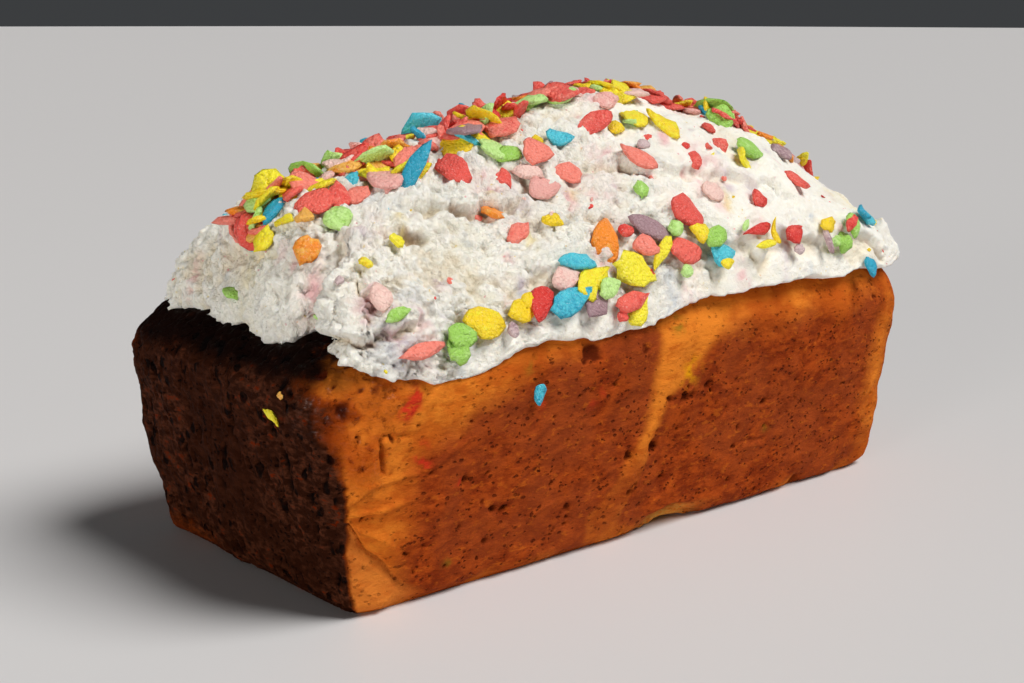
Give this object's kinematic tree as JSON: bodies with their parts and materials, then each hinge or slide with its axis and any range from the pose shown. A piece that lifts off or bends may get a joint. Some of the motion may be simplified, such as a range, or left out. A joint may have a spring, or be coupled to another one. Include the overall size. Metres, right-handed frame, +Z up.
{
  "type": "loaf cake",
  "caption": "Uncut rectangular loaf cake with a domed crust, thick uneven white frosting heaped over its top, and coloured crisp flakes stuck on the frosting.",
  "frame": {"origin": "middle of the flat base, on the table", "axes": "+Z up; +X along the loaf, away from its dark end; -Y out of the long side that the picture shows"},
  "size_m": [0.2331, 0.1126, 0.1258],
  "materials": {
    "loaf": "baked orange-brown crust, porous and slightly greasy, nearly black at one end",
    "frosting": "off-white whipped frosting, softly matte, with coloured crisp flakes"
  },
  "bodies": {
    "root": {"loaf": "loaf", "frosting": "frosting"}
  },
  "joints": []
}
